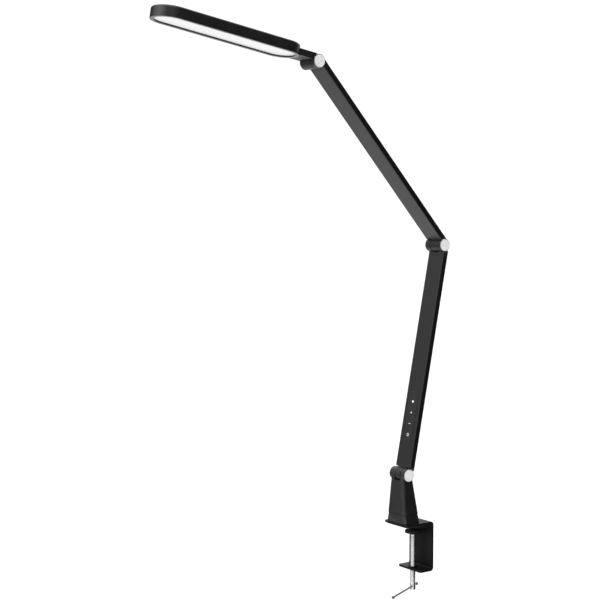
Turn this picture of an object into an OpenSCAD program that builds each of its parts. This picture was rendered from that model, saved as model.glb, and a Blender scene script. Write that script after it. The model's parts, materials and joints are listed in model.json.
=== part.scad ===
// Architect desk lamp with a screw clamp: clamp, swivelling pedestal, two arms and a long LED head.
// Millimetres. +X runs along the tilt hinges towards their bright caps, +Y points to the back of
// the clamp, +Z is up. The origin is on the rubber face that rests on the desk, on the swivel axis.
// The lamp is drawn in its working pose.

/* [Clamp] */
// Width of the bracket
clamp_w = 49; // [46:0.5:54]
// Thickness of the bracket's steel
steel_t = 3; // [2.5:0.1:3.2]
// Back face of the bracket, measured from the swivel axis
clamp_back = 36; // [34:0.5:40]
// Depth of the upper jaw
upper_jaw = 50.4; // [48:0.2:56]
// Depth of the lower jaw
lower_jaw = 24; // [22:0.2:26]
// Clear height between the jaw pad and the lower jaw
mouth_h = 63.8; // [55:0.2:75]
// Outer radius of the bracket's two bends
bend_r = 5; // [4:0.5:6]
// Thickness of the rubber pad under the upper jaw
jaw_pad_t = 1.5; // [1:0.1:2]

/* [Clamp screw] */
// Distance of the clamp screw behind the swivel axis
screw_y = 19; // [18:0.5:20]
// Diameter of the clamp screw
screw_d = 8; // [8:8]
// Level of the pressure pad's rubber face
pad_z = -10.3; // [-30:0.1:-9]
// Diameter of the pressure pad
pad_d = 24; // [20:1:26]
// Level of the clamp screw's lower end
screw_end_z = -96.8; // [-110:0.2:-92]
// Length of the tommy bar
bar_l = 80; // [60:1:90]
// Diameter of the tommy bar
bar_d = 2.4; // [2:0.1:3]
// Heading of the tommy bar's long side, from -Y towards +X
bar_turn = 25.3; // [0:0.1:90]

/* [Pedestal] */
// Width of the pedestal at its foot
foot_w = 41; // [40:0.5:44]
// Depth of the pedestal at its foot
foot_depth = 29.6; // [28.6:0.2:30]
// Height of the skirt
skirt_h = 12; // [10:0.5:13]
// Width of the shell's lower edge
shell_w = 38.4; // [37.6:0.2:39]
// Depth of the shell's lower edge
shell_depth = 27.2; // [26:0.2:28]
// Width of the shell level with the hinge
neck_w = 27; // [26:0.2:28]
// Depth of the shell level with the hinge, as deep as the hinge barrels
neck_depth = 18.7; // [18:0.1:19]
// Wall of the shell
shell_wall = 2.4; // [2:0.1:2.6]

/* [Hinges] */
// Distance of the base hinge in front of the swivel axis
base_forward = 3; // [2:0.2:4]
// Height of the base hinge over the desk face
base_z = 73; // [71:0.5:80]
// Radius of every hinge barrel
barrel_r = 9.35; // [9:0.05:9.6]
// Half of the barrel's width
barrel_half = 16; // [15.5:0.1:16.5]
// Radius of the hinge bolt
bolt_r = 3; // [2.5:0.1:3]

/* [Arms] */
// Length of each arm between hinge axes
arm_l = 330; // [250:5:360]
// Width of the arms
arm_w = 32; // [31:0.5:33]
// Thickness of the arms
arm_t = 8.4; // [8:0.1:9]
// Wall of the arm tubes
arm_wall = 1.3; // [1:0.1:1.6]
// Lean of the lower arm from upright, towards the back
lower_lean = 11.3; // [0:0.1:20]
// Lean of the upper arm from upright, towards the back
upper_lean = -42.3; // [-60:0.1:-20]

/* [Touch controls] */
// Centre of the touch panel along the lower arm
panel_at = 80; // [70:1:120]
// Length of the touch panel
panel_l = 78; // [70:1:90]
// Width of the touch panel
panel_w = 18; // [14:1:20]
// Spacing of the touch marks
mark_pitch = 15.8; // [14:0.1:17]

/* [Head] */
// Lean of the head from upright, towards the back
head_lean = -80.6; // [-110:0.1:-60]
// Length of the head
head_l = 216.6; // [180:0.2:260]
// Width of the head
head_w = 52.4; // [50:0.2:54]
// Height of the head
head_h = 14.8; // [14:0.1:16]
// Distance from the head hinge to the head
head_at = 28; // [27:0.1:30]
// Width of the bezel's flat rim
rim_w = 5; // [4:0.1:6]

/* [Hidden] */
$fn = 64;
eps = 0.01;

// Levels of the clamp
plate_z = jaw_pad_t + steel_t;
lower_jaw_z = -mouth_h;
clamp_front = clamp_back - upper_jaw;

// Swivel: a fixed post in the clamp, a bush in the pedestal
post_r = 6;
post_bore_r = 6.05;
bush_r = 8;
foot_gap = 0.6;
foot_z = plate_z + foot_gap;
bush_top = 27;
washer_gap = 0.3;
post_top = bush_top + washer_gap;
stud_r = 4;
stud_end = 0.8;
post_washer_t = 1.2;
nut_h = 6.5;
swivel_nut_r = 7.5;
csk_r = 4.6;
csk_h = 2.6;
post_screw_r = 2.5;
post_screw_l = 14;

// Pressure pad and screw
pad_rubber_t = 1.3;
pad_steel_t = 2.2;
pad_under = pad_z - pad_rubber_t - pad_steel_t;
pad_hub_h = 2.2;
pad_hub_r = 6;
socket_low = 1.2;
socket_l = 2.6;
ball_r = 3.2;
ball_h = 2;
ball_gap = 0.4;
screw_neck_r = screw_d / 2 - 1.4;
screw_neck_l = 2.2;
screw_chamfer = 0.8;
bar_z = screw_end_z + 5.3;
bar_clear = 0.06;
bar_end_r = 2.25;
bar_short = 13;
bush_flange_r = 6.5;
bush_flange_t = 1.5;
bush_body_r = 5.3;
thread_clear = 0.08;

// Pedestal
skirt_top = foot_z + skirt_h;
seam = 0.4;
skirt_lip = 2.5;
shell_z = skirt_top + seam;
foot_corner = 5;
foot_y = 0.7;
shell_corner = 4.8;
neck_y = -base_forward;
shell_back = shell_depth / 2;
neck_back = neck_y + neck_depth / 2;
inlet_z = 46;
inlet_tilt = atan((shell_back - neck_back) / (base_z - shell_z));
inlet_y = shell_back + (neck_back - shell_back) * (inlet_z - shell_z) / (base_z - shell_z);
inlet_r = 4;
inlet_flange_r = 5.4;
inlet_flange_t = 0.9;
inlet_bore_r = 2.85;
inlet_pin_r = 1;
inlet_l = 9;
shell_screw_x = 14.8;
shell_screw_r = 1.5;
shell_screw_l = 16;
shell_boss_r = 2.6;
shell_boss_h = 7;
counterbore_r = 2.9;
counterbore_h = 3.4;
slot_drop = 7.2;
slot_clear = 0.6;
cavity_top = base_z - barrel_r - 5;
thrust_r = 11;
thrust_t = 0.3;

// Hinge stations along X: seats for the bolt head and the nut, and the faces of the ears
cap_x = 15.9;
head_seat = 10;
nut_seat = -9;
head_recess_r = 6.5;
nut_recess_r = 7;
bolt_bore_r = bolt_r + 0.05;
bolt_head_r = 5;
bolt_head_h = 3.4;
hex_socket_r = 2.3;
hex_socket_l = 2;
spring_t = 0.7;
spring_rise = 0.2;
spring_r = 6;
nut_t = 4;
nut_r = 5.77;
disc_gap = 0.3;
nut_x = nut_seat - disc_gap - 2 * (spring_t + spring_rise) - nut_t;
bolt_end = nut_x - 0.3;
barrel_bevel = 0.5;
web_bevel = 0.2;
cap_t = 0.5;
cap_bevel = 0.2;
cap_r = barrel_r - barrel_bevel - 0.05;
cap_ring_r = 5.5;
cap_ring_l = 2.2;
plug_t = 0.6;
plug_ring_t = 0.6;
plug_ring_l = 2;
washer_t = 0.6;
washer_r = 7.5;
tongue_x0 = -3;
tongue_x1 = 6.8;
elbow_face = -5;
base_left_face = tongue_x0 - disc_gap - washer_t;
right_face = tongue_x1 + disc_gap + washer_t;
elbow_left_face = elbow_face - disc_gap - washer_t;

// Arms: the tube lies behind the plane of its hinge axes
arm_off = 0.2;
arm_mid = arm_off + arm_t / 2;
arm_back = arm_off + arm_t;
arm_corner = 1.2;
arm_end_at = 7;
end_hollow_r = barrel_r + 1.2;
tube_start = 14.5;
plug_l = 20;
plug_clear = 0.1;
arm_screw_r = 1.5;
arm_screw_x = 9;
arm_screw_at = tube_start + plug_l / 2;
arm_screw_l = 4;
arm_head_r = 2.6;
arm_head_h = 0.8;
lead_r = 1.5;
lead_clear = 0.4;
lead_at = 11;

// Touch controls, in the lower arm's front wall
panel_t = 1;
panel_proud = 0.3;
panel_ledge = 1.5;
touch_board_w = 24;
mark_t = 0.3;
mark_first = 103.7;

// Head
head_low = -1;
bezel_t = 1.4;
bezel_collar_t = 2.6;
shell_t = 1.8;
top_round = 3;
diffuser_t = 1.6;
diffuser_r = head_w / 2 - 3.4;
diffuser_off = head_low + 2.1;
box_t = 0.8;
board_t = 1.2;
board_off = head_low + head_h - shell_t - board_t;
board_half = 17;
led_h = 0.8;
led_x = 10;
led_count = 15;
board_at = head_at + 40;
board_far = head_at + head_l - 12;
neck_off = 0.4;
neck_t = 8.7;
neck_half = 16;
tongue_off = 4.4;
tongue_half = 12;
tongue_end = head_at + 34;
neck_bar_end = head_at + 9;
neck_turn_r = barrel_r + 0.8;
neck_screw_at = [head_at + 18, head_at + 28];
neck_screw_x = 7;
neck_screw_r = 1.5;
neck_screw_l = 6;
neck_head_h = 1.4;
head_boss_r = 3;

// ---- places ----

module on_lower() {
    translate([0, -base_forward, base_z]) rotate([-lower_lean, 0, 0]) children();
}

module on_elbow() {
    on_lower() translate([0, 0, arm_l]) rotate([lower_lean, 0, 0]) children();
}

module on_upper() {
    on_elbow() rotate([-upper_lean, 0, 0]) children();
}

module on_head_hinge() {
    on_upper() translate([0, 0, arm_l]) rotate([upper_lean, 0, 0]) children();
}

module on_head() {
    on_head_hinge() rotate([-head_lean, 0, 0]) children();
}

module on_base_hinge() {
    translate([0, -base_forward, base_z]) children();
}

// ---- shared shapes ----

// A rectangle with round corners, centred
module round_rect(w, h, r) {
    square([w - 2 * r, h], center = true);
    square([w, h - 2 * r], center = true);
    for (x = [-1, 1], y = [-1, 1])
        translate([x * (w / 2 - r), y * (h / 2 - r)]) circle(r);
}

// A thin slice of round rectangle at a level, for the tapered pedestal
module slice(w, d, r, y, z) {
    translate([0, y, z]) linear_extrude(eps)
        offset(r, $fn = 32) square([w - 2 * r, d - 2 * r], center = true);
}

// A cylinder along X from x0 to x1
module rod(x0, x1, r) {
    translate([x0, 0, 0]) rotate([0, 90, 0]) cylinder(r = r, h = x1 - x0);
}

// A hinge barrel along X with small bevels on both rims
module barrel(x0, x1, b0 = barrel_bevel, b1 = barrel_bevel) {
    translate([x0, 0, 0]) rotate([0, 90, 0]) rotate_extrude()
        polygon([[0, 0], [barrel_r - b0, 0], [barrel_r, b0], [barrel_r, x1 - x0 - b1],
                 [barrel_r - b1, x1 - x0], [0, x1 - x0]]);
}

// A ring along X
module ring(x0, x1, r_out, r_in) {
    difference() {
        rod(x0, x1, r_out);
        rod(x0 - 1, x1 + 1, r_in);
    }
}

// A block given by its low and high corners
module block(low, high) {
    translate(low) cube(high - low);
}

// The hollow that takes the bolt head from the bright side, and its bore
module bolt_hollow(x0) {
    rod(head_seat, cap_x + 1, head_recess_r);
    rod(x0 - 1, head_seat + 1, bolt_bore_r);
}

// The hollow that takes the nut and disc springs from the plain side, and its bore
module nut_hollow(x1) {
    rod(-barrel_half - 1, nut_seat, nut_recess_r);
    rod(nut_seat - 1, x1 + 1, bolt_bore_r);
}

// A countersunk or round-headed screw standing along +Z, head down at the origin
module screw(r, l, head_r, head_h) {
    difference() {
        union() {
            cylinder(r = head_r, h = head_h);
            translate([0, 0, head_h - eps]) cylinder(r = r, h = l);
        }
        translate([0, 0, -eps]) cylinder(r = r * 0.7, h = head_h * 0.6, $fn = 6);
    }
}

// ---- hinge hardware, the same at all three hinges ----

module hinge_bolt() {
    color("silver") difference() {
        union() {
            rod(bolt_end, head_seat + eps, bolt_r);
            rod(head_seat, head_seat + bolt_head_h, bolt_head_r);
        }
        translate([head_seat + bolt_head_h - hex_socket_l, 0, 0]) rotate([0, 90, 0])
            cylinder(r = hex_socket_r, h = hex_socket_l + 1, $fn = 6);
    }
}

module hinge_nut() {
    color("silver") difference() {
        translate([nut_x, 0, 0]) rotate([0, 90, 0]) cylinder(r = nut_r, h = nut_t, $fn = 6);
        rod(nut_x - 1, nut_x + nut_t + 1, bolt_r);
    }
}

// Two cupped disc springs back to back, between the nut and its seat
module hinge_springs() {
    t = spring_t;
    rise = spring_rise;
    inner = bolt_r + 0.1;
    color("dimgray") for (k = [0, 1])
        translate([nut_seat - disc_gap - k * (t + rise), 0, 0]) rotate([0, -90, 0]) rotate_extrude()
            polygon([[inner, k * rise], [spring_r, (1 - k) * rise],
                     [spring_r, t + (1 - k) * rise], [inner, t + k * rise]]);
}

module friction_washer(x0) {
    color("white") ring(x0, x0 + washer_t, washer_r, bolt_bore_r);
}

// The bright cap: a bevelled disc with a ring that plugs the bolt head's hollow
module bright_cap() {
    color("silver") {
        translate([cap_x, 0, 0]) rotate([0, 90, 0]) rotate_extrude()
            polygon([[0, 0], [cap_r, 0], [cap_r, cap_t - cap_bevel], [cap_r - cap_bevel, cap_t], [0, cap_t]]);
        ring(cap_x - cap_ring_l, cap_x + eps, head_recess_r, cap_ring_r);
    }
}

// The plain cap on the other end of the barrel
module plain_plug() {
    color("dimgray") {
        translate([-barrel_half - plug_t, 0, 0]) rotate([0, 90, 0]) rotate_extrude()
            polygon([[0, 0], [barrel_r - 1, 0], [barrel_r - 0.5, plug_t], [0, plug_t]]);
        ring(-barrel_half - eps, -barrel_half + plug_ring_l, nut_recess_r, nut_recess_r - plug_ring_t);
    }
}

// ---- clamp ----

// Side outline of the bracket: two jaws and a back, with round bends
module bracket_outline() {
    r_in = bend_r - steel_t;
    y_in = clamp_back - steel_t;
    difference() {
        union() {
            translate([clamp_front, jaw_pad_t]) square([upper_jaw - bend_r, steel_t]);
            translate([clamp_back - lower_jaw, lower_jaw_z - steel_t]) square([lower_jaw - bend_r, steel_t]);
            translate([y_in, lower_jaw_z - steel_t + bend_r])
                square([steel_t, plate_z - lower_jaw_z + steel_t - 2 * bend_r]);
            for (z = [plate_z - bend_r, lower_jaw_z - steel_t + bend_r])
                translate([clamp_back - bend_r, z]) circle(bend_r);
        }
        for (z = [plate_z - bend_r, lower_jaw_z - steel_t + bend_r])
            translate([clamp_back - bend_r, z]) circle(r_in);
        translate([clamp_back - bend_r - bend_r, lower_jaw_z]) square([bend_r, mouth_h + jaw_pad_t]);
        translate([clamp_back - bend_r - eps, lower_jaw_z - steel_t + bend_r])
            square([r_in + eps, plate_z - lower_jaw_z + steel_t - 2 * bend_r]);
    }
}

module clamp_bracket() {
    corner = 3;
    color("#1c1c1c") difference() {
        translate([-clamp_w / 2, 0, 0]) rotate([90, 0, 90]) linear_extrude(clamp_w) bracket_outline();
        // round front corners of both jaws
        for (s = [-1, 1], jaw = [[clamp_front, 0], [clamp_back - lower_jaw, lower_jaw_z - steel_t - 1]])
            translate([s * (clamp_w / 2 - corner), jaw[0] + corner, jaw[1]]) difference() {
                block([s > 0 ? 0 : -corner - 1, -corner - 1, 0], [s > 0 ? corner + 1 : 0, 0, steel_t + 3]);
                translate([0, 0, -1]) cylinder(r = corner, h = steel_t + 5);
            }
        // countersunk hole for the post's screw
        translate([0, 0, jaw_pad_t - eps]) cylinder(r1 = csk_r + 0.05, r2 = post_screw_r + 0.05, h = csk_h);
        translate([0, 0, 0]) cylinder(r = post_screw_r, h = plate_z + 1);
        // hole for the threaded bush
        translate([0, screw_y, lower_jaw_z - steel_t - 1]) cylinder(r = bush_body_r, h = steel_t + 2);
    }
}

module jaw_pad() {
    side_gap = 2.5;
    front = clamp_front + 2.4;
    back = clamp_back - bend_r;
    color("#262626") translate([0, (front + back) / 2, 0]) linear_extrude(jaw_pad_t)
        round_rect(clamp_w - 2 * side_gap, back - front, 3);
}

module screw_bush() {
    color("#1c1c1c") translate([0, screw_y, lower_jaw_z]) difference() {
        union() {
            cylinder(r = bush_flange_r, h = bush_flange_t);
            translate([0, 0, -steel_t]) cylinder(r = bush_body_r, h = steel_t + eps);
        }
        translate([0, 0, -steel_t - 1]) cylinder(r = screw_d / 2 + thread_clear, h = 10);
    }
}

module swivel_post() {
    color("silver") difference() {
        union() {
            translate([0, 0, plate_z]) cylinder(r = post_r, h = post_top - plate_z);
            translate([0, 0, post_top - eps]) cylinder(r = stud_r, h = post_washer_t + nut_h + stud_end);
        }
        translate([0, 0, plate_z - 1]) cylinder(r = post_screw_r, h = post_screw_l - plate_z + jaw_pad_t + 1);
    }
}

module post_screw() {
    color("silver") difference() {
        union() {
            translate([0, 0, jaw_pad_t]) cylinder(r1 = csk_r, r2 = post_screw_r, h = csk_h);
            translate([0, 0, jaw_pad_t + csk_h - 0.2])
                cylinder(r = post_screw_r, h = post_screw_l - csk_h - 0.5);
        }
        translate([0, 0, jaw_pad_t - eps]) cylinder(r = 1.7, h = 1.8, $fn = 6);
    }
}

module swivel_washer() {
    color("silver") translate([0, 0, post_top]) difference() {
        cylinder(r = bush_r - 0.6, h = post_washer_t);
        translate([0, 0, -1]) cylinder(r = stud_r, h = post_washer_t + 2);
    }
}

module swivel_nut() {
    color("silver") translate([0, 0, post_top + post_washer_t]) difference() {
        cylinder(r = swivel_nut_r, h = nut_h, $fn = 6);
        translate([0, 0, -1]) cylinder(r = stud_r, h = nut_h + 2);
    }
}

// ---- pressure pad, screw and bar ----

// Steel cup with a socket for the screw's ball end
module pressure_pad() {
    color("#2a2a2a") translate([0, screw_y, pad_under]) difference() {
        union() {
            cylinder(r = pad_d / 2, h = pad_steel_t);
            translate([0, 0, -pad_hub_h]) cylinder(r = pad_hub_r, h = pad_hub_h + eps);
        }
        translate([0, 0, -socket_low]) cylinder(r = ball_r + 0.5, h = socket_l);
        translate([0, 0, -3]) cylinder(r = screw_d / 2 - 1, h = 3);
    }
}

module pad_rubber() {
    color("#262626") translate([0, screw_y, pad_z - pad_rubber_t])
        cylinder(r = pad_d / 2 - 0.4, h = pad_rubber_t);
}

module clamp_screw() {
    neck_z = pad_under - pad_hub_h - ball_gap;
    body_z = screw_end_z + screw_chamfer;
    color("silver") translate([0, screw_y, 0]) difference() {
        union() {
            translate([0, 0, body_z]) cylinder(r = screw_d / 2, h = neck_z - body_z);
            translate([0, 0, screw_end_z])
                cylinder(r1 = screw_d / 2 - screw_chamfer, r2 = screw_d / 2, h = screw_chamfer + eps);
            translate([0, 0, neck_z - eps]) cylinder(r = screw_neck_r, h = screw_neck_l);
            translate([0, 0, pad_under - 0.9]) cylinder(r = ball_r, h = ball_h);
        }
        translate([0, 0, bar_z]) rotate([0, 0, bar_turn]) rotate([90, 0, 0])
            cylinder(r = bar_d / 2 + bar_clear, h = 2 * screw_d, center = true);
    }
}

module tommy_bar() {
    color("gray") translate([0, screw_y, bar_z]) rotate([0, 0, bar_turn]) rotate([90, 0, 0]) {
        translate([0, 0, -bar_short]) cylinder(r = bar_d / 2, h = bar_l);
        translate([0, 0, -bar_short]) sphere(bar_end_r);
        translate([0, 0, bar_l - bar_short]) sphere(bar_end_r);
    }
}

// ---- pedestal ----

module pedestal_body(inset, z0, z1) {
    taper = (z0 - shell_z) / (base_z - shell_z);
    taper1 = (z1 - shell_z) / (base_z - shell_z);
    hull() {
        slice(shell_w + (neck_w - shell_w) * taper - 2 * inset,
              shell_depth + (neck_depth - shell_depth) * taper - 2 * inset,
              shell_corner - inset, neck_y * taper, z0);
        slice(shell_w + (neck_w - shell_w) * taper1 - 2 * inset,
              shell_depth + (neck_depth - shell_depth) * taper1 - 2 * inset,
              shell_corner - inset, neck_y * taper1, z1 - eps);
    }
}

// Tapered housing that ends in two ears around the base hinge
module pedestal_shell() {
    color("#303030") difference() {
        union() {
            pedestal_body(0, shell_z, base_z);
            on_base_hinge() {
                barrel(-barrel_half, base_left_face);
                barrel(right_face, cap_x);
            }
        }
        // inside, open at the bottom, with two bosses left standing for the screws
        difference() {
            pedestal_body(shell_wall, shell_z - 1, cavity_top);
            for (s = [-1, 1]) translate([s * shell_screw_x, 0, shell_z + skirt_lip + 0.2])
                cylinder(r = shell_boss_r, h = shell_boss_h);
        }
        for (s = [-1, 1]) translate([s * shell_screw_x, 0, shell_z]) cylinder(r = shell_screw_r, h = 12);
        // slot for the lower arm's tongue
        block([base_left_face, -40, base_z - slot_drop], [right_face, 40, base_z + 20]);
        on_base_hinge() {
            rod(base_left_face, right_face, barrel_r + slot_clear);
            nut_hollow(base_left_face);
            bolt_hollow(right_face);
        }
        inlet_place() rod_y(-inlet_l - 2, 6, inlet_r);
    }
}

// A cylinder along Y from y0 to y1
module rod_y(y0, y1, r) {
    translate([0, y1, 0]) rotate([90, 0, 0]) cylinder(r = r, h = y1 - y0);
}

module inlet_place() {
    translate([0, inlet_y, inlet_z]) rotate([inlet_tilt, 0, 0]) children();
}

// Round power socket with its centre pin
module power_inlet() {
    color("#101010") inlet_place() {
        difference() {
            union() {
                rod_y(-inlet_l, 0.2, inlet_r);
                rod_y(0, inlet_flange_t, inlet_flange_r);
            }
            rod_y(-inlet_l + 1.5, 2, inlet_bore_r);
        }
        rod_y(-inlet_l + 1, -1, inlet_pin_r);
    }
}

// Foot casting: closes the shell from below and carries the swivel bush
module pedestal_skirt() {
    color("#2b2b2b") difference() {
        union() {
            hull() {
                slice(foot_w, foot_depth, foot_corner, foot_y, foot_z);
                slice(shell_w - 1, shell_depth - 0.6, shell_corner, 0, skirt_top - eps);
            }
            pedestal_body(shell_wall + 0.1, skirt_top - 0.1, skirt_top + skirt_lip);
        }
        translate([0, 0, foot_z - 1]) cylinder(r = bush_r, h = 40);
        for (s = [-1, 1]) translate([s * shell_screw_x, 0, foot_z - 1]) {
            cylinder(r = shell_screw_r + 0.1, h = 40);
            cylinder(r = counterbore_r, h = counterbore_h);
        }
    }
}

module swivel_bush() {
    color("white") difference() {
        translate([0, 0, foot_z]) cylinder(r = bush_r, h = bush_top - foot_z);
        cylinder(r = post_bore_r, h = bush_top + 5);
    }
}

module thrust_washer() {
    color("white") translate([0, 0, foot_z - thrust_t]) difference() {
        cylinder(r = thrust_r, h = thrust_t);
        translate([0, 0, -1]) cylinder(r = post_bore_r, h = 3);
    }
}

module shell_screws() {
    color("silver") for (s = [-1, 1])
        translate([s * shell_screw_x, 0, foot_z + 0.3]) screw(shell_screw_r, shell_screw_l, 2.8, 2);
}

// ---- arms ----

// Section of an arm, centred on its own middle
module arm_section(inset) {
    round_rect(arm_w - 2 * inset, arm_t - 2 * inset, max(arm_corner - inset, 0.3));
}

module arm_bar(s0, s1, inset) {
    translate([0, arm_mid, s0]) linear_extrude(s1 - s0) arm_section(inset);
}

module arm_tube() {
    difference() {
        arm_bar(tube_start, arm_l - tube_start, 0);
        arm_bar(tube_start - 1, arm_l - tube_start + 1, arm_wall);
    }
}

// An end piece: a collar flush with the tube, a plug inside it, and a barrel with its web.
// The collar is hollowed round the hinge axis, so that it wraps the barrels beside its own.
// It is drawn for the end at the origin, with the arm running along +Z.
module arm_end(x0, x1, b0, b1) {
    difference() {
        union() {
            difference() {
                arm_bar(arm_end_at, tube_start, 0);
                rod(-arm_w, arm_w, end_hollow_r);
            }
            barrel(x0, x1, b0, b1);
            block([x0 + b0, arm_off, 0], [x1 - b1, arm_back, end_hollow_r + 1]);
            arm_bar(tube_start - eps, tube_start + plug_l, arm_wall + plug_clear);
        }
        // way for the lead
        translate([0, arm_mid, arm_end_at - 1]) cylinder(r = lead_r + lead_clear, h = tube_start + plug_l);
        // pilot holes for the two retaining screws, from the back
        for (s = [-1, 1])
            translate([s * arm_screw_x, 0, arm_screw_at]) rod_y(arm_off + 2, arm_back + 1, arm_screw_r);
    }
}

module lower_arm_tube() {
    color("#2e2e2e") on_lower() difference() {
        arm_tube();
        // rebate for the touch panel, and the window behind it
        translate([0, arm_off + panel_t - panel_proud, panel_at]) rotate([90, 0, 0])
            linear_extrude(panel_t * 2) pill(panel_w, panel_l);
        translate([0, arm_off + arm_wall + 0.5, panel_at]) rotate([90, 0, 0])
            linear_extrude(panel_t * 3) pill(panel_w - 2 * panel_ledge, panel_l - 2 * panel_ledge);
        arm_screw_holes();
    }
}

module upper_arm_tube() {
    color("#2e2e2e") on_upper() difference() {
        arm_tube();
        arm_screw_holes();
    }
}

// Holes in the tube's back wall at both ends
module arm_screw_holes() {
    for (s = [-1, 1], z = [arm_screw_at, arm_l - arm_screw_at])
        translate([s * arm_screw_x, 0, z]) rod_y(arm_back - arm_wall - 0.5, arm_back + 1, arm_screw_r);
}

// Four retaining screws with flat heads that stand slightly proud of the back wall
module arm_screws() {
    color("#151515") for (s = [-1, 1], z = [arm_screw_at, arm_l - arm_screw_at])
        translate([s * arm_screw_x, arm_back + arm_head_h, z]) rotate([90, 0, 0])
            screw(arm_screw_r, arm_screw_l, arm_head_r, arm_head_h);
}

module lower_arm_foot() {
    color("#2a2a2a") on_lower() difference() {
        arm_end(tongue_x0, tongue_x1, web_bevel, web_bevel);
        rod(tongue_x0 - 1, tongue_x1 + 1, bolt_bore_r);
    }
}

// Barrels of the far ends lie on the hinge axis itself
module far_arm_end(x0, x1, b0, b1) {
    translate([0, 0, arm_l]) mirror([0, 0, 1]) arm_end(x0, x1, b0, b1);
}

module lower_arm_ear() {
    color("#2a2a2a") on_lower() difference() {
        far_arm_end(-barrel_half, elbow_left_face, barrel_bevel, barrel_bevel);
        translate([0, 0, arm_l]) nut_hollow(elbow_left_face);
    }
}

module upper_arm_knuckle() {
    color("#2a2a2a") on_upper() difference() {
        arm_end(elbow_face, cap_x, barrel_bevel, barrel_bevel);
        bolt_hollow(elbow_face);
    }
}

module upper_arm_ear() {
    color("#2a2a2a") on_upper() difference() {
        far_arm_end(right_face, cap_x, web_bevel, barrel_bevel);
        translate([0, 0, arm_l]) bolt_hollow(right_face);
    }
}

// Two-core lead inside an arm, between its end pieces
module arm_lead() {
    color("#202020") translate([0, arm_mid, lead_at]) cylinder(r = lead_r, h = arm_l - 2 * lead_at);
}

// ---- touch controls ----

// A pill outline, long along the second axis
module pill(w, l) {
    square([w, l - w], center = true);
    for (s = [-1, 1]) translate([0, s * (l - w) / 2]) circle(w / 2);
}

module touch_panel() {
    color("#0a0a0a") on_lower() difference() {
        translate([0, arm_off + panel_t - panel_proud, panel_at]) rotate([90, 0, 0])
            linear_extrude(panel_t) pill(panel_w, panel_l);
        mark_cuts(1);
    }
}

// The four marks: a power dot, a plus-like spot, a dash and a ring
module mark_shapes(k) {
    if (k == 0) circle(1.6);
    if (k == 1) circle(1.1);
    if (k == 2) square([3.4, 0.9], center = true);
    if (k == 3) difference() {
        circle(2.3);
        circle(1.3);
    }
}

module mark_cuts(over) {
    for (k = [0:3])
        translate([0, arm_off - panel_proud + mark_t, mark_first - k * mark_pitch]) rotate([90, 0, 0])
            linear_extrude(mark_t + over) mark_shapes(k);
}

module touch_marks() {
    color("white") on_lower() mark_cuts(0);
}

module touch_board() {
    half_l = panel_l / 2 - 2;
    low = arm_off + arm_wall;
    color("darkgreen") on_lower() block([-touch_board_w / 2, low, panel_at - half_l],
                                        [touch_board_w / 2, low + board_t, panel_at + half_l]);
}

// ---- head ----

// A long slab with round ends in plan: r is the half width, w0 to w1 the span along the head
module slab(r, inset, y0, y1) {
    z0 = head_at + head_w / 2;
    z1 = head_at + head_l - head_w / 2;
    translate([0, y1, 0]) rotate([90, 0, 0]) linear_extrude(y1 - y0) {
        translate([-r + inset, z0]) square([2 * (r - inset), z1 - z0]);
        for (z = [z0, z1]) translate([0, z]) circle(r - inset);
    }
}

// The head's outer form, with a round upper edge
module head_form(y0, y1, inset, round_r) {
    z0 = head_at + head_w / 2;
    z1 = head_at + head_l - head_w / 2;
    r = head_w / 2 - inset;
    module half_profile() {
        translate([0, y0]) square([r, y1 - y0 - round_r]);
        translate([0, y0]) square([r - round_r, y1 - y0]);
        translate([r - round_r, y1 - round_r]) circle(round_r);
    }
    for (z = [z0, z1]) translate([0, 0, z]) rotate([-90, 0, 0]) rotate_extrude() half_profile();
    translate([0, 0, z0]) linear_extrude(z1 - z0) {
        half_profile();
        mirror([1, 0]) half_profile();
    }
}

module at_neck_screws() {
    for (s = [-1, 1], z = neck_screw_at) translate([s * neck_screw_x, 0, z]) children();
}

module head_shell() {
    low = head_low + bezel_t;
    top = head_low + head_h;
    color("#262626") on_head() difference() {
        head_form(low, top, 0, top_round);
        difference() {
            head_form(low - 1, top - shell_t, shell_t, 1.4);
            at_neck_screws() rod_y(neck_off + neck_t, top, head_boss_r);
        }
        at_neck_screws() rod_y(neck_off + neck_t - 1, top - shell_t, neck_screw_r);
        // way in for the neck
        block([-neck_half - 0.1, neck_off - 1, head_at - 5],
              [neck_half + 0.1, neck_off + neck_t + 0.1, head_at + 12]);
    }
}

// Flat rim with a collar inside the shell, so that the diffuser sits back from the rim
module head_bezel() {
    top = head_low + bezel_collar_t + 1;
    color("#141414") on_head() difference() {
        union() {
            slab(head_w / 2, 0, head_low, head_low + bezel_t);
            slab(head_w / 2, shell_t + 0.2, head_low, head_low + bezel_collar_t);
        }
        slab(head_w / 2, rim_w, head_low - 1, top);
        // rebate that holds the diffuser
        slab(diffuser_r + 0.1, 0, diffuser_off, top);
    }
}

module diffuser() {
    color("white") on_head() slab(diffuser_r, 0, diffuser_off, diffuser_off + diffuser_t);
}

// White tray wall between the diffuser and the board
module light_box() {
    low = diffuser_off + diffuser_t;
    color("white") on_head() difference() {
        slab(diffuser_r, 0, low, board_off);
        slab(diffuser_r - box_t, 0, low - 1, board_off + 1);
        block([-neck_half - 0.4, low - 1, head_at - 5], [neck_half + 0.4, board_off + 1, board_at - 3]);
    }
}

module led_board() {
    color("white") on_head()
        block([-board_half, board_off, board_at], [board_half, board_off + board_t, board_far]);
}

module leds() {
    margin = 6;
    first = board_at + margin;
    pitch = (board_far - margin - first) / (led_count - 1);
    color("khaki") on_head() for (row = [-1, 1], k = [0:led_count - 1])
        translate([row * led_x, board_off - led_h, first + k * pitch]) rotate([-90, 0, 0])
            linear_extrude(led_h) square([2.8, 3.5], center = true);
}

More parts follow.
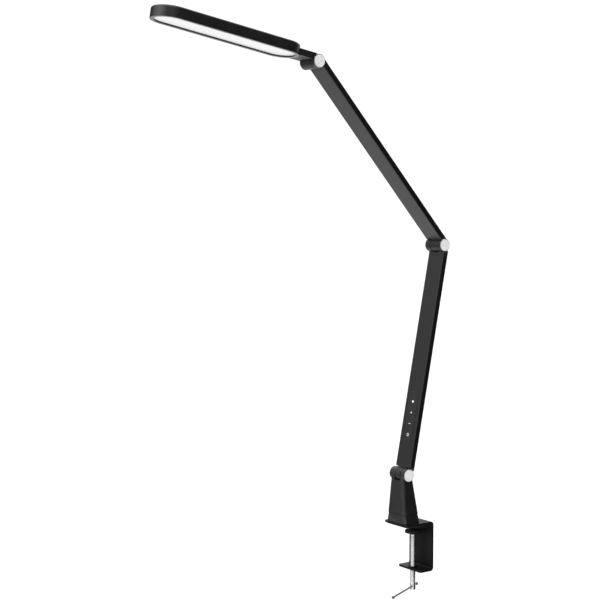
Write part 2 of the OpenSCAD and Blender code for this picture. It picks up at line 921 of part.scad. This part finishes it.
// Flat neck: a barrel on the hinge, a bar as wide as the barrel, and a thin tongue inside the head
module head_neck() {
    color("#262626") on_head() difference() {
        union() {
            barrel(-barrel_half, tongue_x1, barrel_bevel, web_bevel);
            difference() {
                block([-neck_half, neck_off, 0], [neck_half, neck_off + neck_t, neck_bar_end]);
                slab(head_w / 2 - shell_t, 0, -1, tongue_off);
            }
            block([-tongue_half, tongue_off, neck_bar_end - 1], [tongue_half, neck_off + neck_t, tongue_end]);
        }
        // room for the upper arm's ear and cap to turn
        rod(tongue_x1, neck_half + 5, neck_turn_r);
        nut_hollow(tongue_x1);
        at_neck_screws() rod_y(0, 20, neck_screw_r);
    }
}

module neck_screws() {
    color("silver") on_head() at_neck_screws() translate([0, tongue_off - neck_head_h, 0])
        rotate([-90, 0, 0]) screw(neck_screw_r, neck_screw_l, arm_head_r, neck_head_h);
}

// ---- hinge pieces in place ----

module base_bolt() { on_base_hinge() hinge_bolt(); }
module base_nut() { on_base_hinge() hinge_nut(); }
module base_springs() { on_base_hinge() hinge_springs(); }
module base_cap() { on_base_hinge() bright_cap(); }
module base_plug() { on_base_hinge() plain_plug(); }
module base_washers() {
    on_base_hinge() {
        friction_washer(base_left_face);
        friction_washer(right_face - washer_t);
    }
}
module elbow_bolt() { on_elbow() hinge_bolt(); }
module elbow_nut() { on_elbow() hinge_nut(); }
module elbow_springs() { on_elbow() hinge_springs(); }
module elbow_cap() { on_elbow() bright_cap(); }
module elbow_plug() { on_elbow() plain_plug(); }
module elbow_washer() { on_elbow() friction_washer(elbow_left_face); }
module head_bolt() { on_head_hinge() hinge_bolt(); }
module head_nut() { on_head_hinge() hinge_nut(); }
module head_springs() { on_head_hinge() hinge_springs(); }
module head_cap() { on_head_hinge() bright_cap(); }
module head_plug() { on_head_hinge() plain_plug(); }
module head_washer() { on_head_hinge() friction_washer(right_face - washer_t); }
module lower_arm_lead() { on_lower() arm_lead(); }
module upper_arm_lead() { on_upper() arm_lead(); }
module lower_arm_screws() { on_lower() arm_screws(); }
module upper_arm_screws() { on_upper() arm_screws(); }

clamp_bracket();
jaw_pad();
screw_bush();
swivel_post();
post_screw();
swivel_washer();
swivel_nut();
pressure_pad();
pad_rubber();
clamp_screw();
tommy_bar();
pedestal_shell();
pedestal_skirt();
swivel_bush();
thrust_washer();
power_inlet();
shell_screws();
base_bolt();
base_nut();
base_springs();
base_washers();
base_cap();
base_plug();
lower_arm_tube();
lower_arm_foot();
lower_arm_ear();
touch_panel();
touch_marks();
touch_board();
lower_arm_lead();
lower_arm_screws();
elbow_washer();
elbow_plug();
upper_arm_tube();
upper_arm_knuckle();
upper_arm_ear();
upper_arm_lead();
upper_arm_screws();
elbow_bolt();
elbow_nut();
elbow_springs();
elbow_cap();
head_bolt();
head_nut();
head_springs();
head_washer();
head_cap();
head_plug();
head_neck();
head_shell();
head_bezel();
diffuser();
light_box();
led_board();
leds();
neck_screws();
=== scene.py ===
"""Clamp-on architect desk lamp: the finished looks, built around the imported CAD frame.

Metres, in the row frame: the origin is on the rubber face that rests on the desk, +Z is up,
+X points along the tilt hinges to their bright caps and the head reaches towards -Y.
"""

import json
import math

import bmesh
import bpy
from mathutils import Euler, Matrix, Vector


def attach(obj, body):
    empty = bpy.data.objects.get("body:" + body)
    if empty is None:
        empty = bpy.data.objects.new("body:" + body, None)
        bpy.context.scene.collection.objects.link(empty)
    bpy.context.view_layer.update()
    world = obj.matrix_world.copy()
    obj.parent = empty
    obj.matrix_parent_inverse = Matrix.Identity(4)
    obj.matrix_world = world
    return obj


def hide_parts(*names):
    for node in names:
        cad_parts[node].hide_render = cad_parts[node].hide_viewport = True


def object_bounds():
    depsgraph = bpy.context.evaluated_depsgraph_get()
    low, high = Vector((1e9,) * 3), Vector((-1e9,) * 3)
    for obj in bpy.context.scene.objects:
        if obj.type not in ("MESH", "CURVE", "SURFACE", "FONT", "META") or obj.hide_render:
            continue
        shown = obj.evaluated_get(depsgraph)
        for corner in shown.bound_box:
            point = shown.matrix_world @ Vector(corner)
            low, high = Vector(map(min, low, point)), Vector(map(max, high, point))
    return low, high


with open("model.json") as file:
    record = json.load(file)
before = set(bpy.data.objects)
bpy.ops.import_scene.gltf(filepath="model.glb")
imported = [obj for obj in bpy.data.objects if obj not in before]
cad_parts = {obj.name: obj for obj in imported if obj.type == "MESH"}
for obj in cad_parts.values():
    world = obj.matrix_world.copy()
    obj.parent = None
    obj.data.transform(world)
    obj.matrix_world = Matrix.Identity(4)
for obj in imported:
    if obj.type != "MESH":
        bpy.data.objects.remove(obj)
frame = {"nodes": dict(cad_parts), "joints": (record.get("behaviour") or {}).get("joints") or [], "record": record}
cad_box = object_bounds()

MM = 0.001
BODY_OF = {n: body for body, nodes in frame["record"]["behaviour"]["bodies"].items() for n in nodes}
SLOT_OF = {s["node"]: s["material_slot"] for s in frame["record"]["subparts"]}
JOINT = {j["name"]: j for j in frame["joints"]}


# ---- places read from the frame ----

def hinge(name):
    """Point on a joint's axis, at rest."""
    return Vector(JOINT[name]["pos_m"])


BASE, ELBOW, HEAD = hinge("base_tilt"), hinge("elbow"), hinge("head_tilt")


def lean(low, high):
    """Turn about X that carries +Z onto the line from one hinge to the next."""
    along = high - low
    return Euler((math.atan2(-along.y, along.z), 0, 0))


# Place and turn of each arm, so that its grain runs along it
LOWER = (BASE, lean(BASE, ELBOW))
UPPER = (ELBOW, lean(ELBOW, HEAD))
UNTURNED = (Vector(), Euler())


# ---- camera, floor and light ----

# In front of the lamp on its bright-cap side, at about the elbow's height, with a long lens
CAMERA_PLACE = (1.426182, -1.210487, 0.437032)
CAMERA_DOWN, CAMERA_TURN = 3.596, 54.167        # degrees below the horizon, and round +Z
CAMERA_LENS = 79.715


def make_camera():
    data = bpy.data.cameras.new("camera")
    data.lens = CAMERA_LENS
    data.sensor_width = 36
    data.clip_start = 0.05
    data.clip_end = 60
    camera = bpy.data.objects.new("camera", data)
    camera.location = CAMERA_PLACE
    camera.rotation_euler = (math.radians(90 - CAMERA_DOWN), 0, math.radians(CAMERA_TURN))
    bpy.context.scene.collection.objects.link(camera)
    bpy.context.scene.camera = camera


def soft_light(name, place, target, size, power):
    """A square area light that looks at a point."""
    data = bpy.data.lights.new(name, "AREA")
    data.size = size
    data.energy = power
    light = bpy.data.objects.new(name, data)
    light.location = place
    light.rotation_euler = (Vector(target) - Vector(place)).to_track_quat("-Z", "Y").to_euler()
    bpy.context.scene.collection.objects.link(light)


# The room that lights the lamp: brightness against the height of a direction, -1 straight down
ROOM = [(-1, 0.9), (-0.35, 0.74), (0.02, 0.32), (0.3, 0.72), (0.75, 1.0)]
# Patches of the room: direction, half angles where the patch is full and where it ends, brightness
PATCHES = [
    ((-0.81, -0.58, -0.3), 8, 24, 0.14),        # low on the far side: darkens the lower arm's foot
    ((-0.92, -0.22, 0.36), 8, 26, 0.06),        # dark on one side of the highlight on the head's end
    ((0.8, -0.5, 0.33), 14, 34, 0.1),           # and dark on its other side
    ((0.65, -0.25, 0.7), 12, 28, 1.65),         # high in front: fills the bright caps
    ((-0.13, -0.9, 0.4), 10, 26, 1.6),          # the highlight on the head's round end
    ((0.77, 0.63, 0.0), 30, 66, 0.02),          # a dark wall, which keeps the sides that face +X black
    ((-0.76, 0.65, 0.02), 12, 26, 0.6),         # a bright wall behind, which grazes the flat tops
    ((-1, 0.05, 0), 12, 32, 0.05),              # a dark wall on the far side
]
FILL_STRENGTH, SEEN_STRENGTH = 1.5, 1.05        # the room as a light, and as the eye sees it


def make_world():
    """White to the eye. As a light it is a bright room, brightest overhead and dimmest at the
    horizon, with soft bright and dark patches."""
    world = bpy.data.worlds.new("studio")
    bpy.context.scene.world = world
    world.use_nodes = True
    nodes, links = world.node_tree.nodes, world.node_tree.links
    nodes.clear()

    def add(kind, **values):
        node = nodes.new(kind)
        for key, value in values.items():
            setattr(node, key, value)
        return node

    way = add("ShaderNodeTexCoord").outputs["Generated"]
    split = add("ShaderNodeSeparateXYZ")
    links.new(way, split.inputs[0])
    height = add("ShaderNodeMapRange")
    height.inputs["From Min"].default_value = -1
    links.new(split.outputs["Z"], height.inputs["Value"])
    ramp = add("ShaderNodeValToRGB")
    while len(ramp.color_ramp.elements) < len(ROOM):
        ramp.color_ramp.elements.new(0.5)
    for element, (z, value) in zip(ramp.color_ramp.elements, ROOM):
        element.position = (z + 1) / 2
        element.color = (value, value, value, 1)
    links.new(height.outputs["Result"], ramp.inputs["Fac"])

    tone = ramp.outputs["Color"]
    for direction, inner, outer, brightness in PATCHES:
        towards = add("ShaderNodeVectorMath", operation="DOT_PRODUCT")
        towards.inputs[1].default_value = Vector(direction).normalized()
        links.new(way, towards.inputs[0])
        patch = add("ShaderNodeMapRange", interpolation_type="SMOOTHSTEP")
        patch.inputs["From Min"].default_value = math.cos(math.radians(outer))
        patch.inputs["From Max"].default_value = math.cos(math.radians(inner))
        links.new(towards.outputs["Value"], patch.inputs["Value"])
        shade = add("ShaderNodeMix", data_type="RGBA")
        shade.inputs[7].default_value = (brightness, brightness, brightness, 1)
        links.new(patch.outputs["Result"], shade.inputs["Factor"])
        links.new(tone, shade.inputs[6])
        tone = shade.outputs[2]

    fill, seen = add("ShaderNodeBackground"), add("ShaderNodeBackground")
    fill.inputs["Strength"].default_value = FILL_STRENGTH
    seen.inputs["Color"].default_value = (1, 1, 1, 1)
    seen.inputs["Strength"].default_value = SEEN_STRENGTH
    links.new(tone, fill.inputs["Color"])
    path, mix, out = add("ShaderNodeLightPath"), add("ShaderNodeMixShader"), add("ShaderNodeOutputWorld")
    links.new(path.outputs["Is Camera Ray"], mix.inputs[0])
    links.new(fill.outputs[0], mix.inputs[1])
    links.new(seen.outputs[0], mix.inputs[2])
    links.new(mix.outputs[0], out.inputs[0])


FLOOR_HALF = 14
FLOOR_DROP = 250 * MM       # below the lamp, so that no shadow falls where the eye looks


def make_floor(level):
    """A plain pale floor, which the glossy pieces don't reflect."""
    mesh = bpy.data.meshes.new("floor")
    corners = [(x * FLOOR_HALF, y * FLOOR_HALF, level) for x, y in ((-1, -1), (1, -1), (1, 1), (-1, 1))]
    mesh.from_pydata(corners, [], [(0, 1, 2, 3)])
    floor = bpy.data.objects.new("floor", mesh)
    bpy.context.scene.collection.objects.link(floor)
    material = bpy.data.materials.new("floor")
    material.use_nodes = True
    shader = material.node_tree.nodes["Principled BSDF"]
    shader.inputs["Base Color"].default_value = (0.9, 0.9, 0.9, 1)
    shader.inputs["Roughness"].default_value = 0.9
    mesh.materials.append(material)
    floor.visible_glossy = False


KEY_PLACE, KEY_TARGET = (-0.6, -0.9, 2.4), (0, -0.1, 0.35)
KEY_SIZE, KEY_POWER = 1.6, 12


def make_studio():
    view = bpy.context.scene.view_settings
    view.view_transform = "Standard"
    view.look = "None"
    make_world()
    make_floor(cad_box[0].z - FLOOR_DROP)
    soft_light("key_above", KEY_PLACE, KEY_TARGET, KEY_SIZE, KEY_POWER)


# ---- materials ----

class Surface:
    """A node material: helpers that hang noise on colour, roughness and bump of one shader."""

    def __init__(self, name, place=UNTURNED, **sockets):
        self.material = bpy.data.materials.new(name)
        self.material.use_nodes = True
        self.nodes = self.material.node_tree.nodes
        self.links = self.material.node_tree.links
        self.shader = self.nodes["Principled BSDF"]
        for socket, value in sockets.items():
            self.shader.inputs[socket.replace("_", " ")].default_value = value
        self.place = place

    def coords(self, stretch=(1, 1, 1)):
        """Position in the piece's own directions, squeezed along each axis."""
        source = self.nodes.new("ShaderNodeTexCoord")
        mapping = self.nodes.new("ShaderNodeMapping")
        mapping.vector_type = "TEXTURE"
        mapping.inputs["Location"].default_value = self.place[0]
        mapping.inputs["Rotation"].default_value = self.place[1]
        mapping.inputs["Scale"].default_value = stretch
        self.links.new(source.outputs["Object"], mapping.inputs["Vector"])
        return mapping.outputs["Vector"]

    def noise(self, size, stretch=(1, 1, 1), detail=3, rough=0.55):
        """Soft noise whose features are about size metres across."""
        node = self.nodes.new("ShaderNodeTexNoise")
        node.inputs["Scale"].default_value = 1 / size
        node.inputs["Detail"].default_value = detail
        node.inputs["Roughness"].default_value = rough
        self.links.new(self.coords(stretch), node.inputs["Vector"])
        return node.outputs["Fac"]

    def math(self, operation, a, b=None, c=None):
        node = self.nodes.new("ShaderNodeMath")
        node.operation = operation
        for socket, value in zip(node.inputs, (a, b, c)):
            if value is None:
                continue
            if isinstance(value, (int, float)):
                socket.default_value = value
            else:
                self.links.new(value, socket)
        return node.outputs[0]

    def span(self, value, low, high, to_low, to_high):
        """Maps low..high to to_low..to_high, held at the ends."""
        node = self.nodes.new("ShaderNodeMapRange")
        for socket, number in zip(("From Min", "From Max", "To Min", "To Max"), (low, high, to_low, to_high)):
            node.inputs[socket].default_value = number
        self.links.new(value, node.inputs["Value"])
        return node.outputs["Result"]

    def mix(self, factor, a, b):
        """A colour between a and b, each a link or three numbers."""
        node = self.nodes.new("ShaderNodeMix")
        node.data_type = "RGBA"
        self.links.new(factor, node.inputs["Factor"])
        for socket, value in zip((node.inputs[6], node.inputs[7]), (a, b)):
            if isinstance(value, (tuple, list)):
                socket.default_value = (*value, 1)
            else:
                self.links.new(value, socket)
        return node.outputs[2]

    def colour(self, value):
        self.links.new(value, self.shader.inputs["Base Color"])

    def roughness(self, value):
        self.links.new(value, self.shader.inputs["Roughness"])

    def relief(self, height, depth):
        """A bump of depth metres."""
        node = self.nodes.new("ShaderNodeBump")
        node.inputs["Distance"].default_value = depth
        self.links.new(height, node.inputs["Height"])
        self.links.new(node.outputs["Normal"], self.shader.inputs["Normal"])

    def edges(self):
        """1 on the rounded edges that soften() made, else 0."""
        node = self.nodes.new("ShaderNodeAttribute")
        node.attribute_name = "edge"
        return node.outputs["Fac"]


def grey(value):
    return (value, value, value)


WORN_GREY = 0.12


def coated(name, dark, light, rough, grain, depth, place=UNTURNED, stretch=(1, 1, 1), wear=0.0, **sockets):
    """A painted, anodised or moulded surface: mottled between two greys, with its roughness between
    two values, a grain of one size and depth, and edges rubbed as much as wear says."""
    s = Surface(name, place, **sockets)
    patches = s.noise(22 * MM, stretch, detail=5)
    fine = s.noise(grain, stretch, detail=4, rough=0.65)
    base = s.mix(s.span(patches, 0.35, 0.65, 0, 1), grey(dark), grey(light))
    speck = s.span(fine, 0.3, 0.7, 0.0, 0.35)
    base = s.mix(speck, base, grey(light * 1.5))
    if wear:
        rubbed = s.math("MULTIPLY", s.edges(), s.span(s.noise(4 * MM, detail=6), 0.55, 0.75, 0, wear))
        base = s.mix(rubbed, base, grey(WORN_GREY))
    s.colour(base)
    low, high = rough
    s.roughness(s.math("ADD", s.span(patches, 0.3, 0.7, low, high), s.span(fine, 0.3, 0.7, -0.03, 0.03)))
    s.relief(fine, depth)
    return s.material


def metal(name, dark, light, rough, depth=0.004 * MM):
    """Bare or plated metal: a fine grain over larger patches."""
    s = Surface(name, Metallic=1.0)
    fine = s.noise(0.25 * MM, detail=4, rough=0.7)
    patches = s.noise(12 * MM, detail=4)
    both = s.math("MULTIPLY_ADD", fine, 0.55, s.math("MULTIPLY", patches, 0.45))
    s.colour(s.mix(s.span(both, 0.35, 0.65, 0, 1), grey(dark), grey(light)))
    s.roughness(s.span(both, 0.35, 0.65, *rough))
    s.relief(fine, depth)
    return s.material


CAP_PLACE = {"base_cap": BASE, "elbow_cap": ELBOW, "head_cap": HEAD}
ARM_PLACE = {"lower_arm_black": LOWER, "upper_arm_black": UPPER}
ALONG_ARM = (1, 1, 6)       # how far the arms' grain is drawn out


def make_materials():
    """Every finish by name: the record's slots, with the arms and caps split by place."""
    made = {}

    def add(name, kind, *values, **more):
        made[name] = kind(name, *values, **more)

    add("clamp_paint", coated, 0.003, 0.005, (0.4, 0.5), 0.5 * MM, 0.008 * MM, wear=0.6,
        Specular_IOR_Level=0.2)
    add("rubber", coated, 0.008, 0.013, (0.75, 0.85), 0.35 * MM, 0.03 * MM)
    add("steel", metal, 0.5, 0.62, (0.28, 0.42))
    add("screw_plate", metal, 0.7, 0.8, (0.1, 0.18), depth=0.001 * MM)
    add("bar_steel", metal, 0.12, 0.18, (0.28, 0.4))
    add("pedestal_plastic", coated, 0.004, 0.006, (0.4, 0.48), 0.3 * MM, 0.012 * MM, wear=0.25,
        Specular_IOR_Level=0.62)
    add("nylon", coated, 0.62, 0.7, (0.35, 0.45), 0.4 * MM, 0.01 * MM)
    add("inlet_plastic", coated, 0.01, 0.014, (0.18, 0.25), 0.3 * MM, 0.004 * MM)
    for cap, place in CAP_PLACE.items():
        add(cap, turned, place)
    add("plug_plastic", coated, 0.005, 0.008, (0.45, 0.55), 0.3 * MM, 0.012 * MM)
    for arm, place in ARM_PLACE.items():
        add(arm, coated, 0.003, 0.005, (0.34, 0.42), 0.22 * MM, 0.006 * MM, place, ALONG_ARM, wear=0.3)
    add("end_plastic", coated, 0.005, 0.008, (0.42, 0.5), 0.3 * MM, 0.012 * MM, wear=0.2)
    add("screw_black", coated, 0.01, 0.014, (0.3, 0.4), 0.2 * MM, 0.004 * MM)
    add("panel_gloss", coated, 0.004, 0.006, (0.06, 0.12), 0.6 * MM, 0.0005 * MM)
    add("board_green", coated, 0.02, 0.03, (0.3, 0.4), 0.4 * MM, 0.01 * MM)
    add("lead_pvc", coated, 0.02, 0.03, (0.5, 0.6), 0.4 * MM, 0.01 * MM)
    add("head_plastic", coated, 0.009, 0.013, (0.26, 0.32), 0.3 * MM, 0.01 * MM, wear=0.15)
    add("bezel_gloss", coated, 0.005, 0.007, (0.12, 0.2), 0.5 * MM, 0.001 * MM)
    add("reflector_white", coated, 0.8, 0.86, (0.5, 0.6), 0.4 * MM, 0.01 * MM)
    add("board_white", coated, 0.78, 0.84, (0.35, 0.45), 0.4 * MM, 0.01 * MM)
    add("led_yellow", coated, 0.7, 0.8, (0.3, 0.4), 0.2 * MM, 0.01 * MM)
    add("mark_white", marks_with_painted_glow)
    add("diffuser_opal", lit, 0.5)
    return made


def lit(name, strength):
    """Opal plastic that glows by itself."""
    s = Surface(name, Roughness=0.35)
    fine = s.noise(0.5 * MM, detail=3)
    glow = s.mix(s.span(fine, 0.3, 0.7, 0, 1), grey(0.48), grey(0.55))
    s.colour(glow)
    s.links.new(glow, s.shader.inputs["Emission Color"])
    s.shader.inputs["Emission Strength"].default_value = strength
    s.relief(fine, 0.01 * MM)
    return s.material


MARK_PAINTED_GLOW = (60 * MM, 103 * MM, 0.3, 0.95)       # from and to along the arm, and the painted glow there


def marks_with_painted_glow(name):
    """The white touch marks with painted light: a glow that is strongest on the top mark and less and less down
    the arm.
    """
    s = Surface(name, LOWER, Roughness=0.3)
    split = s.nodes.new("ShaderNodeSeparateXYZ")
    s.links.new(s.coords(), split.inputs[0])
    fine = s.noise(0.5 * MM, detail=3)
    s.colour(s.mix(s.span(fine, 0.3, 0.7, 0, 1), grey(0.3), grey(0.36)))
    s.shader.inputs["Emission Color"].default_value = (1, 1, 1, 1)
    # Painted glow: the marks' emission rises along the arm, standing in for light on the white print
    s.links.new(s.span(split.outputs["Z"], *MARK_PAINTED_GLOW), s.shader.inputs["Emission Strength"])
    s.relief(fine, 0.01 * MM)
    return s.material


CAP_RIM = (8.15 * MM, 8.25 * MM)        # radii between which a cap's face turns into its bare rim


def turned(name, place):
    """Satin plated face with the fine rings of a lathe round the hinge axis, and a bare metal rim."""
    s = Surface(name, (place, Euler()), Coat_Weight=0.2, Coat_Roughness=0.25)
    split = s.nodes.new("ShaderNodeSeparateXYZ")
    s.links.new(s.coords(), split.inputs[0])
    y, z = split.outputs["Y"], split.outputs["Z"]
    radius = s.math("SQRT", s.math("ADD", s.math("MULTIPLY", y, y), s.math("MULTIPLY", z, z)))
    rings = s.nodes.new("ShaderNodeTexNoise")
    rings.noise_dimensions = "1D"
    rings.inputs["Scale"].default_value = 1 / (0.3 * MM)
    rings.inputs["Detail"].default_value = 4
    s.links.new(radius, rings.inputs["W"])
    patches = s.noise(6 * MM, detail=5)
    both = s.math("MULTIPLY_ADD", rings.outputs["Fac"], 0.5, s.math("MULTIPLY", patches, 0.5))
    face = s.mix(s.span(both, 0.35, 0.65, 0, 1), grey(0.9), grey(0.97))
    rim = s.span(radius, *CAP_RIM, 0, 1)
    s.colour(s.mix(rim, face, grey(0.72)))
    s.links.new(s.span(rim, 0, 1, 0.12, 1.0), s.shader.inputs["Metallic"])
    s.roughness(s.span(both, 0.35, 0.65, 0.34, 0.46))
    s.relief(rings.outputs["Fac"], 0.003 * MM)
    return s.material


MATERIAL_OF_NODE = {"lower_arm_tube": "lower_arm_black", "upper_arm_tube": "upper_arm_black"}
MATERIAL_OF_NODE.update({cap: cap for cap in CAP_PLACE})


def finish_of(node):
    return MATERIALS[MATERIAL_OF_NODE.get(node, SLOT_OF[node])]


# ---- meshes ----

WELD = 0.0005 * MM
FLAT = math.radians(0.4)


def clean_copy(node):
    """The CAD node's form as one welded mesh, with flat faces joined."""
    bm = bmesh.new()
    bm.from_mesh(frame["nodes"][node].data)
    bmesh.ops.remove_doubles(bm, verts=bm.verts, dist=WELD)
    bmesh.ops.dissolve_limit(bm, angle_limit=FLAT, verts=bm.verts, edges=bm.edges)
    return bm


def place_piece(bm, name, node, keep_sharp=35):
    """Turns a bmesh in the row frame into a piece that stands for a CAD node."""
    mesh = bpy.data.meshes.new(name)
    bm.to_mesh(mesh)
    bm.free()
    for polygon in mesh.polygons:
        polygon.use_smooth = True
    mesh.set_sharp_from_angle(angle=math.radians(keep_sharp))
    mesh.materials.append(finish_of(node))
    piece = bpy.data.objects.new(name, mesh)
    bpy.context.scene.collection.objects.link(piece)
    weighted = piece.modifiers.new("weighted", "WEIGHTED_NORMAL")
    weighted.keep_sharp = True
    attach(piece, BODY_OF[node])
    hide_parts(node)


EDGE_ANGLE = math.radians(32)
EDGE_STEPS = 3


def soften(node, width):
    """The CAD form with its edges rounded; the new faces are marked in the edge attribute."""
    bm = clean_copy(node)
    edge_mark = bm.faces.layers.float.new("edge")
    sharp = [e for e in bm.edges if len(e.link_faces) == 2 and e.calc_face_angle(0) > EDGE_ANGLE]
    made = bmesh.ops.bevel(bm, geom=sharp, offset=width, offset_type="OFFSET", segments=EDGE_STEPS,
                           profile=0.5, affect="EDGES", clamp_overlap=True, miter_outer="ARC")
    for face in made["faces"]:
        face[edge_mark] = 1.0
    place_piece(bm, node + "_fine", node)


# Radius of the rounded edges of each piece that shows, in millimetres
EDGES = {
    "clamp_bracket": 0.35, "jaw_pad": 0.3, "screw_bush": 0.25, "pressure_pad": 0.35, "pad_rubber": 0.35,
    "tommy_bar": 0.1,
    "pedestal_shell": 0.3, "pedestal_skirt": 0.3, "power_inlet": 0.15,
    "base_cap": 0.12, "elbow_cap": 0.12, "head_cap": 0.12,
    "base_plug": 0.12, "elbow_plug": 0.12, "head_plug": 0.12,
    "lower_arm_tube": 0.12, "lower_arm_foot": 0.15, "lower_arm_ear": 0.15, "touch_panel": 0.1,
    "lower_arm_screws": 0.1,
    "upper_arm_tube": 0.12, "upper_arm_knuckle": 0.15, "upper_arm_ear": 0.15, "upper_arm_screws": 0.1,
    "head_neck": 0.3, "head_shell": 0.2, "head_bezel": 0.25, "diffuser": 0.15,
}


PITCH = 1.25 * MM
THREAD_OUT, THREAD_ROOT = 4.0 * MM, 3.3 * MM
CREST, FLANK = 0.14, 0.74       # shares of half a pitch
RUN_OUT = 1.5                   # turns over which the thread fades in at each end
PLAIN_FOOT = 9.5 * MM           # below the thread, where the tommy bar goes through
PLAIN_TOP = 0.6 * MM            # above it, under the turned-down end
THREAD_SIDES, ROWS_PER_TURN = 40, 10


def thread_depth(turns):
    """How deep a metric thread is at a number of turns, from 0 on the flat crest to 1 at the root."""
    u = abs((turns % 1.0) - 0.5) * 2
    return min(max((u - CREST) / FLANK, 0), 1)


def cut_part(bm, other, level, keep_low):
    """Adds to bm the part of other that lies below or above a level."""
    bmesh.ops.bisect_plane(other, geom=other.verts[:] + other.edges[:] + other.faces[:],
                           plane_co=(0, 0, level), plane_no=(0, 0, 1),
                           clear_outer=keep_low, clear_inner=not keep_low)
    mesh = bpy.data.meshes.new("part")
    other.to_mesh(mesh)
    other.free()
    bm.from_mesh(mesh)
    bpy.data.meshes.remove(mesh)


def make_thread():
    """The clamp screw: plain ends as in the frame, and a rolled right-hand thread between them."""
    axis = hinge("screw_turn")
    corners = [v.co for v in frame["nodes"]["clamp_screw"].data.vertices]
    full_width = [c.z for c in corners if math.hypot(c.x - axis.x, c.y - axis.y) > THREAD_OUT - 0.1 * MM]
    low = min(c.z for c in corners) + PLAIN_FOOT
    high = max(full_width) - PLAIN_TOP
    bm = bmesh.new()
    cut_part(bm, clean_copy("clamp_screw"), low, True)
    cut_part(bm, clean_copy("clamp_screw"), high, False)
    rows = int((high - low) / PITCH * ROWS_PER_TURN)
    grid = []
    for i in range(rows + 1):
        z = low + (high - low) * i / rows
        fade = min(min(i, rows - i) / ROWS_PER_TURN / RUN_OUT, 1.0)
        ring = []
        for k in range(THREAD_SIDES):
            angle = 2 * math.pi * k / THREAD_SIDES
            depth = fade * thread_depth(z / PITCH - k / THREAD_SIDES)
            r = THREAD_OUT + (THREAD_ROOT - THREAD_OUT) * depth
            ring.append(bm.verts.new((axis.x + r * math.cos(angle), axis.y + r * math.sin(angle), z)))
        grid.append(ring)
    for below, above in zip(grid, grid[1:]):
        for k in range(THREAD_SIDES):
            n = (k + 1) % THREAD_SIDES
            bm.faces.new((below[k], below[n], above[n], above[k]))
    bmesh.ops.recalc_face_normals(bm, faces=bm.faces)
    place_piece(bm, "clamp_screw_thread", "clamp_screw", keep_sharp=50)


def dress_cad_nodes():
    """Every CAD node that no piece stands for gets its finish."""
    for name, node in frame["nodes"].items():
        if node.hide_render:
            continue
        for slot in node.material_slots:
            slot.material = finish_of(name)


make_camera()
make_studio()
MATERIALS = make_materials()
for node, width in EDGES.items():
    soften(node, width * MM)
make_thread()
dress_cad_nodes()
